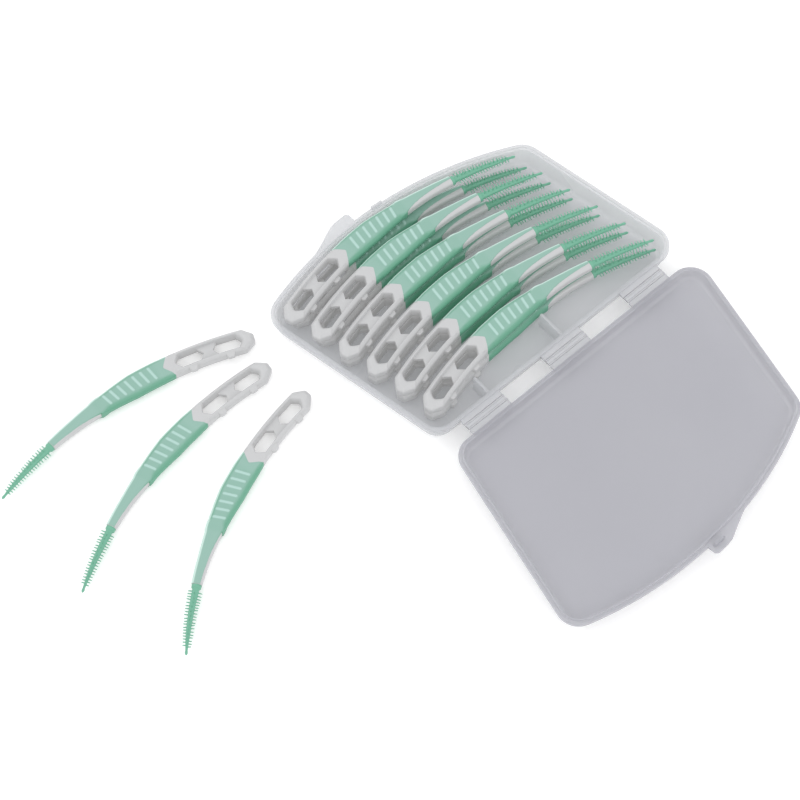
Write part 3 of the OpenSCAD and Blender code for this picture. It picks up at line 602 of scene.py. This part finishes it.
def web_plate():
    """The plate between the two windows: sections along the pick, carried across it from rail to rail.
    Its two ends follow the windows' points."""
    n = np.linspace(-WINDOW_W / 2 - RAIL_OVER, WINDOW_W / 2 + RAIL_OVER, 17)
    spread = WINDOW_POINT * np.minimum(1, np.abs(n) / (WINDOW_W / 2))
    start = WINDOW_FROM + WINDOW_LEN - spread
    stop = WINDOW_FROM + WINDOW_PITCH + spread
    quarter = circle(np.linspace(0, math.pi / 2, 4)) * WEB_SOFT
    on, up = quarter[:, 0] - WEB_SOFT, WEB_T / 2 - WEB_SOFT + quarter[:, 1]
    s_side = np.concatenate([on, -on[::-1], -on, on[::-1]])
    at_stop = np.concatenate([np.ones(4), np.zeros(8), np.ones(4)])
    z = np.concatenate([up, up[::-1], -up, -up[::-1]])
    s = start[:, None] * (1 - at_stop) + stop[:, None] * at_stop + s_side
    points = curve_points(s, n[:, None] * np.ones_like(s), z[None] * np.ones_like(s))
    return outwards(points.reshape(-1, 3), grid_faces(*s.shape))


def outwards(points, faces):
    """The shape with its faces turned to point out of it: six times its volume, the sum over the
    faces' triangles of their corners' triple product, comes out positive."""
    total = 0
    for f in faces:
        for i in range(1, len(f) - 1):
            total += np.dot(points[f[0]], np.cross(points[f[i]], points[f[i + 1]]))
    return points, faces if total > 0 else [f[::-1] for f in faces]


def nub(at):
    """A low nub on the handle's inner edge: rounded rectangles along n, drawn in towards its top."""
    rows = []
    edge = -HANDLE_W / 2
    top = edge - NUB_OUT
    for n, k in ((edge + 0.9, 1.05), (edge - 0.1, 1), (top + 0.25, 0.8), (top + 0.06, 0.68), (top, 0.5)):
        a, b = NUB_LEN / 2 * k, NUB_T / 2 * k
        plan = rounded_ring([(a, -b), (a, b), (-a, b), (-a, -b)], NUB_SOFT)
        rows.append(curve_points(at + plan[:, 0], np.full(len(plan), n), plan[:, 1] - NUB_LOW))
    return outwards(np.concatenate(rows), grid_faces(len(rows), len(rows[0])))


def neck_half(s):
    """Half width and half thickness of the white core: the slim bar inside the grip, then the neck."""
    w = np.interp(s, [GRIP_TO, (GRIP_TO + COLLAR_AT) / 2, COLLAR_AT],
                  [NECK_W / 2, (NECK_W + 2 * COLLAR_W) / 6, COLLAR_W / 2])
    t = np.interp(s, [GRIP_TO, COLLAR_AT], [NECK_T / 2, NECK_END_T / 2])
    inside = smoothstep(GRIP_TO - s)
    return w + (BAR_W / 2 - w) * inside, t + (BAR_T / 2 - t) * inside


def core_shape():
    """Handle with its frame, web and nubs, and the bar and neck."""
    s = np.concatenate([np.linspace(HANDLE_LEN - 1, GRIP_TO - 1, 6),
                        np.linspace(GRIP_TO - 0.8, COLLAR_AT, 26)])
    w, t = neck_half(s)
    neck = loft(s, sections(w, t, NECK_BEVEL, NECK_SOFT))
    nubs = [nub(f + WINDOW_LEN / 2) for f in (WINDOW_FROM, WINDOW_FROM + WINDOW_PITCH)]
    return join([handle_frame(), web_plate(), neck] + nubs)


def raised_bars(s, n):
    """Height, 0 to 1, of the plain bars across the grip: each leans a little and has round ends, and the
    bars get shorter towards the brush."""
    height = np.zeros(np.broadcast(s, n).shape)
    for i in range(RAISED_N):
        along = s - (RAISED_FROM + i * RAISED_STEP) - RAISED_SLANT * n
        across = np.maximum(np.abs(n) - (RAISED_REACH - RAISED_LESS * i), 0)
        height = np.maximum(height, smoothstep((RAISED_HALF - np.hypot(along, across)) / 0.28))
    return height


def grip_shape():
    """Rubber grip in one skin with the rubber on the neck. Past the grip's end the skin stands
    WRAP_OUT proud of the neck, and what lies inside a line that slants across the neck is folded
    down into it, so that the white core shows there. Also gives three marks for its points: the broad
    faces, the raised bars and the bevel along the outer edge."""
    last = RAISED_FROM + (RAISED_N - 1) * RAISED_STEP
    s = np.concatenate([
        HANDLE_LEN + np.array([0, 0.15, 0.4, 0.8]),
        np.linspace(HANDLE_LEN + 1.2, RAISED_FROM - 1, 10),
        np.arange(RAISED_FROM - 0.8, last + 1, 0.16),
        np.linspace(last + RAISED_STEP, GRIP_TO - 0.5, 6),
        GRIP_TO + np.array([-0.3, -0.1, 0, 0.1, 0.3, 0.6]),
        np.linspace(GRIP_TO + 1, COLLAR_AT - 0.1, 30)])
    # The half width swells from the handle's and tapers past the middle, slowly and then fast
    w = np.interp(s, [HANDLE_LEN, HANDLE_LEN + 1, HANDLE_LEN + SWELL_LEN, (HANDLE_LEN + GRIP_TO) / 2,
                      GRIP_TO - TAPER_LEN, GRIP_TO],
                  [HANDLE_W / 2, HANDLE_W / 2 + SWELL_FIRST, GRIP_W / 2, GRIP_W / 2,
                   GRIP_W / 2 - TAPER_LESS, GRIP_END_W / 2])
    t = np.interp(s, [HANDLE_LEN, HANDLE_LEN + 0.3, GRIP_TO - 3, GRIP_TO],
                  [HALF_THICK - 0.05, HALF_THICK, HALF_THICK, HALF_THICK - 0.16])
    # From the handle's section over the joint to the grip's, then early and past its end to the neck's
    neck_w, neck_t = neck_half(np.maximum(s, GRIP_TO))
    past = smoothstep((s - GRIP_TO + 0.4) / 2.2)
    w = w * (1 - past) + (neck_w + WRAP_OUT) * past
    t = t * (1 - past) + (neck_t + WRAP_OUT) * past
    joint = smoothstep((s - HANDLE_LEN) / 3)
    early = smoothstep((s - GRIP_TO + 3) / 2.5)
    bevel = (HANDLE_BEVEL + (GRIP_BEVEL - HANDLE_BEVEL) * joint) * (1 - early) + NECK_BEVEL * early
    soft = (HANDLE_SOFT + (GRIP_SOFT - HANDLE_SOFT) * joint) * (1 - early) + NECK_SOFT * early
    section = sections(w, t, bevel[:, None], soft[:, None, None], 6)
    section = fill_flats(section, np.linspace(1, 0, 26)[1:-1])
    n, z = section[..., 0], section[..., 1]
    on_top = smoothstep((np.abs(z) - (t[:, None] - 0.35)) / 0.3)
    bars = raised_bars(s[:, None], n) * on_top
    sunk = smoothstep((s - HANDLE_LEN - POINT_LEN) / 2.5) * (1 - past)
    z = z - np.sign(z) * RAISED_HIGH * on_top * (sunk[:, None] - bars)
    along = (s - GRIP_TO) / (COLLAR_AT - GRIP_TO)
    share = [np.interp(along, WRAP_AT, side)[:, None] for side in (WRAP_TOP, WRAP_UNDER)]
    limit = np.where(s[:, None] < GRIP_TO - 0.05, -np.inf, np.where(z > 0, *share) * neck_w[:, None])
    z = np.where(n < limit, z * FOLD_IN, z)
    n = np.maximum(n, limit)
    points, faces = loft(s, np.stack([n, z], -1))
    # The broad faces' mark, which tints them paler: a painted sheen.
    face = smoothstep((np.abs(z) - 0.72 * t[:, None]) / (0.26 * t[:, None]))
    # The mark of a band along the outer edge, which tints it palest: a painted highlight where the bevel
    # catches the light.
    edge = smoothstep((n - w[:, None] + EDGE_HIGHLIGHT_W) / 0.35) * smoothstep((w[:, None] - n) / 0.1)
    return points, faces, [mark[:, ::-1].reshape(-1) for mark in (face, bars, edge)]


def fill_flats(section, flat):
    """Adds points over the top and the bottom of each section, so that bars can rise there."""
    steps = section.shape[1] // 8
    top_from, top_to = section[:, 2 * steps - 1], section[:, 2 * steps]
    low_from, low_to = section[:, 6 * steps - 1], section[:, 6 * steps]
    span = lambda a, b: a[:, None] * flat[None, :, None] + b[:, None] * (1 - flat)[None, :, None]
    return np.concatenate([section[:, :2 * steps], span(top_from, top_to), section[:, 2 * steps:6 * steps],
                           span(low_from, low_to), section[:, 6 * steps:]], 1)


def stem_radius(s):
    """Radius of the brush's stem at distance s: straight lines from the collar by two points to the
    slim end, then the bulb."""
    at = [COLLAR_AT, COLLAR_AT + COLLAR_LEN, COLLAR_AT + 1.3 * COLLAR_LEN, COLLAR_AT + BRUSH_LEN / 3,
          COLLAR_AT + BRUSH_LEN * 2 / 3] + [PICK_LEN - BULB_LEN * share for share in (1, 0.6, 0.25, 0)]
    return np.interp(s, at, [COLLAR_W / 2, COLLAR_W / 2 - 0.05, STEM_R, STEM_R * 0.85,
                             (STEM_R + STEM_TIP_R) / 2, STEM_TIP_R, BULB_R, BULB_R * 0.8, BULB_R * 0.15])


def bristles(rng):
    """Tapering strands with round tips, square to the stem but for a small lean. Each is a stack of rings
    from its root inside the stem to its tip, worked out as arrays over all the strands at once."""
    rows = []
    for count, angle, shift in ((SIDE_N, 0, 0), (SIDE_N, math.pi, 0.5), (FLAT_N, math.pi / 2, 0.25),
                                (FLAT_N, -math.pi / 2, 0.75)):
        step = (LAST_BRISTLE - FIRST_BRISTLE) / count
        at = FIRST_BRISTLE + (np.arange(count) + shift) * step
        rows.append(np.stack([at, np.full(count, angle)], -1))
    at, angle = np.concatenate(rows).T
    angle = angle + rng.normal(0, SWING, len(at))
    lean = rng.normal(LEAN, LEAN_SPREAD, len(at))
    share = (at - COLLAR_AT) / BRUSH_LEN
    long = BRISTLE_LONG + (BRISTLE_TIP_LONG - BRISTLE_LONG) * share
    long = long * rng.uniform(SHORTEST, LONGEST, len(at))
    root = stem_radius(at) * ROOT_SHARE
    tall = root + (stem_radius(at) * (1 - ROOT_SHARE) + long)
    # None reaches past the pick's flat sides, so that a loose pick lies flat
    tall = np.minimum(tall, (HALF_THICK - FLAT_ROOM) / np.maximum(np.abs(np.sin(angle)), 0.2))
    up, thin = np.array(STRAND).T
    thin = thin * BRISTLE_R
    k = np.arange(STRAND_SIDES) / STRAND_SIDES * 2 * math.pi
    height = root[:, None] + (tall - root)[:, None] * up[None]
    along = at[:, None] + lean[:, None] * height
    sideways = thin[None, :, None] * np.cos(k)[None, None]
    onward = thin[None, :, None] * np.sin(k)[None, None]
    ca, sa = np.cos(angle)[:, None, None], np.sin(angle)[:, None, None]
    n = height[..., None] * ca - sideways * sa
    z = height[..., None] * sa + sideways * ca
    points = curve_points(along[..., None] + onward, n, z)
    one, size = grid_faces(len(STRAND), STRAND_SIDES), len(STRAND) * STRAND_SIDES
    return points.reshape(-1, 3), [[i + size * b for i in face] for b in range(len(at)) for face in one]


def brush_shape(rng):
    """Stem with its collar and bulb, and the rows of bristles."""
    s = np.concatenate([[COLLAR_AT, COLLAR_AT + 0.06], np.linspace(COLLAR_AT + 0.12, COLLAR_AT + 1.6, 10),
                        np.linspace(COLLAR_AT + 2, PICK_LEN - BULB_LEN, 30),
                        PICK_LEN - BULB_LEN * np.array([0.85, 0.7, 0.55, 0.4, 0.25, 0.15, 0.07, 0.02, 0])])
    r = stem_radius(s)
    r[0] -= 0.1
    ring = r[:, None, None] * circle(np.linspace(0, 2 * math.pi, 17)[:-1]) * [1, 0.96]
    return join([loft(s, ring), bristles(rng)])


def cased_place(layer, i):
    """x, y, z, turn and whether turned over of a pick in the tray: layer 1 is the upper one."""
    low = 1 - layer
    return (MID_X - FIRST_LEFT + i * PICK_STEP + low * SLIP_X * SLIP_X_SHARES[i],
            CROWN_Y - FIRST_BACK - i * PICK_PITCH - low * SLIP_Y * SLIP_Y_SHARES[i],
            FLOOR_T + LAYER_GAP + layer * (THICK + LAYER_GAP), UPPER_TURN + low * LOWER_TURNS[i], False)


def loose_place(i):
    """The same of a pick that lies beside the case."""
    return (MID_X - LOOSE_FAR + LOOSE_STEP * LOOSE_X_SHARES[i], BACK_Y + LOOSE_UP - LOOSE_DROP * i, 0,
            LOOSE_TURNS[i], True)


def placed(points, place):
    """A pick's points moved to its place: turned over about its curve's chord or not, then turned."""
    x, y, z, turn, over = place
    points = np.array(points, float)
    if over:
        points = points * [1, -1, -1] + [0, 0, THICK]
    c, s = math.cos(math.radians(turn)), math.sin(math.radians(turn))
    return points @ np.array([[c, s, 0], [-s, c, 0], [0, 0, 1]]) + [x, y, z]


def make_picks(white, mint, brush_mint):
    """Every pick: core and grip are worked out once, and each brush has its own bristles."""
    core_points, core_faces = core_shape()
    grip_points, grip_faces, marks = grip_shape()
    places = [(f"upper_pick_{i + 1}", cased_place(1, i)) for i in range(LAYER_N)]
    places += [(f"lower_pick_{i + 1}", cased_place(0, i)) for i in range(LAYER_N)]
    places += [(f"loose_pick_{i + 1}", loose_place(i)) for i in range(LOOSE_N)]
    rng = np.random.default_rng(7)
    for name, place in places:
        new_piece(f"{name}_white", placed(core_points, place), core_faces, white, name, [f"{name}_core"],
                  30)
        grip = new_piece(f"{name}_rubber", placed(grip_points, place), grip_faces, mint, name,
                         [f"{name}_grip"], 50)
        for title, values in zip(GRIP_MARKS, marks):
            mark = grip.data.attributes.new(title, "FLOAT", "POINT")
            mark.data.foreach_set("value", values.astype(np.float32))
        points, faces = brush_shape(rng)
        new_piece(f"{name}_bristles", placed(points, place), faces, brush_mint, name, [f"{name}_brush"],
                  60)


# Materials

def srgb(r, g, b):
    """A colour as the eye reads it, 0 to 255, made linear."""
    lin = lambda v: v / 12.92 if v <= 0.04045 else ((v + 0.055) / 1.055) ** 2.4
    return (*[lin(v / 255) for v in (r, g, b)], 1)


def fill(node, values):
    """Puts values on the node's own sockets."""
    for socket, value in values.items():
        node.inputs[socket].default_value = value


def new_material(name):
    """A material with its nodes and links."""
    material = bpy.data.materials.new(name)
    material.use_nodes = True
    return material, material.node_tree.nodes, material.node_tree.links


def grain_group():
    """Moulded surface: a soft wave and a fine grain as a height, and a slow variation as a mask."""
    group = bpy.data.node_groups.new("moulded_surface", "ShaderNodeTree")
    for name in ("Wave Scale", "Grain Scale", "Grain Share"):
        group.interface.new_socket(name, in_out="INPUT", socket_type="NodeSocketFloat")
    for name in ("Height", "Mask"):
        group.interface.new_socket(name, in_out="OUTPUT", socket_type="NodeSocketFloat")
    nodes, links = group.nodes, group.links
    given, out = nodes.new("NodeGroupInput"), nodes.new("NodeGroupOutput")
    place = nodes.new("ShaderNodeTexCoord")
    wave, grain, slow = (nodes.new("ShaderNodeTexNoise") for _ in range(3))
    for noise, socket in ((wave, "Wave Scale"), (grain, "Grain Scale")):
        links.new(place.outputs["Object"], noise.inputs["Vector"])
        links.new(given.outputs[socket], noise.inputs["Scale"])
    links.new(place.outputs["Object"], slow.inputs["Vector"])
    fill(slow, {"Scale": 25})
    mix = nodes.new("ShaderNodeMix")
    links.new(given.outputs["Grain Share"], mix.inputs["Factor"])
    links.new(wave.outputs["Fac"], mix.inputs["A"])
    links.new(grain.outputs["Fac"], mix.inputs["B"])
    links.new(mix.outputs["Result"], out.inputs["Height"])
    links.new(slow.outputs["Fac"], out.inputs["Mask"])
    return group


def plastic(name, group, tones, rough, bump, wave, grain, grain_share, alpha=1.0, glow=None):
    """A moulded plastic or rubber: two close tones and two roughnesses by the slow mask, and bump, given
    as its strength and its distance in metres. The faint glow, a colour and a strength, stands in for
    light that scatters inside it."""
    material, nodes, links = new_material(name)
    shader = nodes["Principled BSDF"]
    surface = nodes.new("ShaderNodeGroup")
    surface.node_tree = group
    fill(surface, {"Wave Scale": wave, "Grain Scale": grain, "Grain Share": grain_share})
    mix = nodes.new("ShaderNodeMix")
    mix.name = "Tones"
    mix.data_type = "RGBA"
    fill(mix, {"A": srgb(*tones[0]), "B": srgb(*tones[1])})
    links.new(surface.outputs["Mask"], mix.inputs["Factor"])
    links.new(mix.outputs["Result"], shader.inputs["Base Color"])
    gloss = nodes.new("ShaderNodeMapRange")
    gloss.interpolation_type = "SMOOTHERSTEP"
    fill(gloss, {"From Min": 0.2, "From Max": 0.8, "To Min": rough[0], "To Max": rough[1]})
    links.new(surface.outputs["Mask"], gloss.inputs["Value"])
    links.new(gloss.outputs["Result"], shader.inputs["Roughness"])
    bumps = nodes.new("ShaderNodeBump")
    fill(bumps, {"Strength": bump[0], "Distance": bump[1]})
    links.new(surface.outputs["Height"], bumps.inputs["Height"])
    links.new(bumps.outputs["Normal"], shader.inputs["Normal"])
    fill(shader, {"Alpha": alpha})
    if glow:
        fill(shader, {"Emission Color": srgb(*glow[0]), "Emission Strength": glow[1]})
    return material


# The grip's marks: its broad faces, tinted as a painted sheen; its raised bars; and its outer edge, tinted
# as a painted highlight.
GRIP_MARKS = ("broad_face_sheen", "raised", "outer_edge_highlight")


def tone_grip(material, colours):
    """The broad faces are given a paler tone, a painted sheen, and the raised bars and the outer edge paler
    ones still, the outer edge's a painted highlight, by the mesh's own attributes."""
    nodes, links = material.node_tree.nodes, material.node_tree.links
    last = nodes["Tones"].outputs["Result"]
    for title, colour in zip(GRIP_MARKS, colours):
        mark = nodes.new("ShaderNodeAttribute")
        mark.attribute_name = title
        mix = nodes.new("ShaderNodeMix")
        mix.data_type = "RGBA"
        fill(mix, {"B": srgb(*colour)})
        links.new(mark.outputs["Fac"], mix.inputs["Factor"])
        links.new(last, mix.inputs["A"])
        last = mix.outputs["Result"]
    links.new(last, nodes["Principled BSDF"].inputs["Base Color"])


def make_materials():
    """The six plastics, by name. Colours are as the eye reads them, 0 to 255."""
    group = grain_group()
    white = plastic("white_polypropylene", group, tones=((171, 172, 174), (179, 180, 182)),
                    rough=(0.34, 0.46), bump=(0.25, 0.00006), wave=220, grain=4000, grain_share=0.4,
                    glow=((228, 226, 222), 0.13))
    grip = plastic("mint_grip_rubber", group, tones=((92, 149, 125), (101, 156, 133)),
                   rough=(0.42, 0.56), bump=(0.3, 0.00006), wave=260, grain=5200, grain_share=0.6,
                   glow=((105, 182, 146), 0.08))
    # Paler tones for the broad faces, a painted sheen, for the raised bars, and for the outer edge, a
    # painted highlight.
    tone_grip(grip, ((137, 170, 160), (167, 197, 191), (196, 218, 212)))
    brush = plastic("mint_brush_rubber", group, tones=((96, 156, 132), (106, 164, 142)),
                    rough=(0.4, 0.52), bump=(0.2, 0.00005), wave=260, grain=5200, grain_share=0.5,
                    glow=((140, 205, 170), 0.1))
    tray = plastic("milky_tray_plastic", group, tones=((178, 179, 184), (186, 187, 191)),
                   rough=(0.22, 0.34), bump=(0.15, 0.0001), wave=70, grain=1500, grain_share=0.15,
                   alpha=0.5, glow=((226, 229, 230), 0.15))
    lid = plastic("milky_lid_plastic", group, tones=((178, 178, 186), (184, 184, 191)),
                  rough=(0.3, 0.38), bump=(0.12, 0.0001), wave=60, grain=1500, grain_share=0.15,
                  alpha=0.62)
    film = plastic("milky_hinge_film", group, tones=((196, 197, 202), (204, 205, 209)),
                   rough=(0.2, 0.3), bump=(0.3, 0.0001), wave=150, grain=1500, grain_share=0.2,
                   alpha=0.6)
    return white, grip, brush, tray, lid, film


# Stage, in metres and watts: the floor's half width, how far it lies below the part, and its glow where
# it is seen, and each lamp's place, width and power
FLOOR_REACH, FLOOR_DROP, FLOOR_GLOW = 3.0, 0.00005, 0.18
LAMPS = {"key": ((-0.45, 0.75, 0.9), 0.8, 2.2), "side": ((-0.8, -0.4, 0.7), 0.7, 0.9),
         "fill": ((0.15, -0.9, 0.7), 0.9, 2.0)}


def make_floor():
    """A pale floor that glows a little where it is seen, and keeps the part's shadow."""
    mesh = bpy.data.meshes.new("floor")
    corners = [(x * FLOOR_REACH, y * FLOOR_REACH, 0) for x, y in ((-1, -1), (1, -1), (1, 1), (-1, 1))]
    mesh.from_pydata(corners, [], [(0, 1, 2, 3)])
    floor = new_object("floor", mesh)
    floor.location.z = -FLOOR_DROP
    material, nodes, links = new_material("floor")
    shader = nodes["Principled BSDF"]
    fill(shader, {"Base Color": (0.93, 0.93, 0.93, 1), "Roughness": 0.9, "Specular IOR Level": 0.1,
                  "Emission Color": (1, 1, 1, 1)})
    links.new(seen_directly(nodes, links, FLOOR_GLOW), shader.inputs["Emission Strength"])
    mesh.materials.append(material)


def make_world():
    """Even white light from everywhere, which is also a white background."""
    world = bpy.data.worlds.new("world")
    bpy.context.scene.world = world
    world.use_nodes = True
    fill(world.node_tree.nodes["Background"], {"Color": (1, 1, 1, 1), "Strength": 1.0})


def make_lamps():
    """Soft round lamps that face the middle of the tray."""
    for name, (place, size, power) in LAMPS.items():
        light = bpy.data.lights.new(name, "AREA")
        light.shape, light.size, light.energy = "DISK", size, power
        lamp = new_object(name, light)
        lamp.location = place
        lamp.rotation_euler = (-Vector(place)).to_track_quat("-Z", "Y").to_euler()


def seen_directly(nodes, links, strength):
    """The strength where a camera, glossy or transmission ray looks, and nothing elsewhere."""
    path = nodes.new("ShaderNodeLightPath")
    total = path.outputs["Is Camera Ray"]
    for ray in ("Is Glossy Ray", "Is Transmission Ray"):
        add = nodes.new("ShaderNodeMath")
        add.operation = "ADD"
        add.use_clamp = True
        links.new(total, add.inputs[0])
        links.new(path.outputs[ray], add.inputs[1])
        total = add.outputs[0]
    scale = nodes.new("ShaderNodeMath")
    scale.operation = "MULTIPLY"
    links.new(total, scale.inputs[0])
    fill(scale, {1: strength})
    return scale.outputs[0]


# Camera, fitted to the photograph: the point of the table at the picture's middle, the distance to it,
# the heading and height of the view in degrees, its roll, and the focal length in pixels of PICTURE
AIM = (MID_X - 42.274, HINGE_Y + 20.394)
DISTANCE, HEADING, ELEVATION, ROLL, FOCAL, PICTURE = 796.77, -41.266, 63.453, -0.09, 2978.7, 800


def make_camera():
    """The camera looks along minus back, with its right and up turned about it by the roll."""
    a, e, roll = math.radians(HEADING), math.radians(ELEVATION), math.radians(ROLL)
    back = Vector((math.sin(a) * math.cos(e), -math.cos(a) * math.cos(e), math.sin(e)))
    right = Vector((math.cos(a), math.sin(a), 0))
    up = back.cross(right)
    c, s = math.cos(roll), math.sin(roll)
    turned = Matrix((c * right + s * up, c * up - s * right, back)).transposed()
    data = bpy.data.cameras.new("camera")
    data.sensor_width, data.clip_start, data.clip_end = 36, 0.01, 20
    data.lens = FOCAL / PICTURE * data.sensor_width
    camera = new_object("camera", data)
    place = (Vector((*AIM, 0)) + back * DISTANCE) * MM
    camera.matrix_world = Matrix.Translation(place) @ turned.to_4x4()
    bpy.context.scene.camera = camera


bpy.context.scene.view_settings.view_transform = "Standard"
make_camera()
white, mint, brush_mint, tray_milk, lid_milk, film = make_materials()
make_tray(tray_milk, film)
make_lid(lid_milk, film)
make_picks(white, mint, brush_mint)
make_film(film)
make_floor()
make_world()
make_lamps()
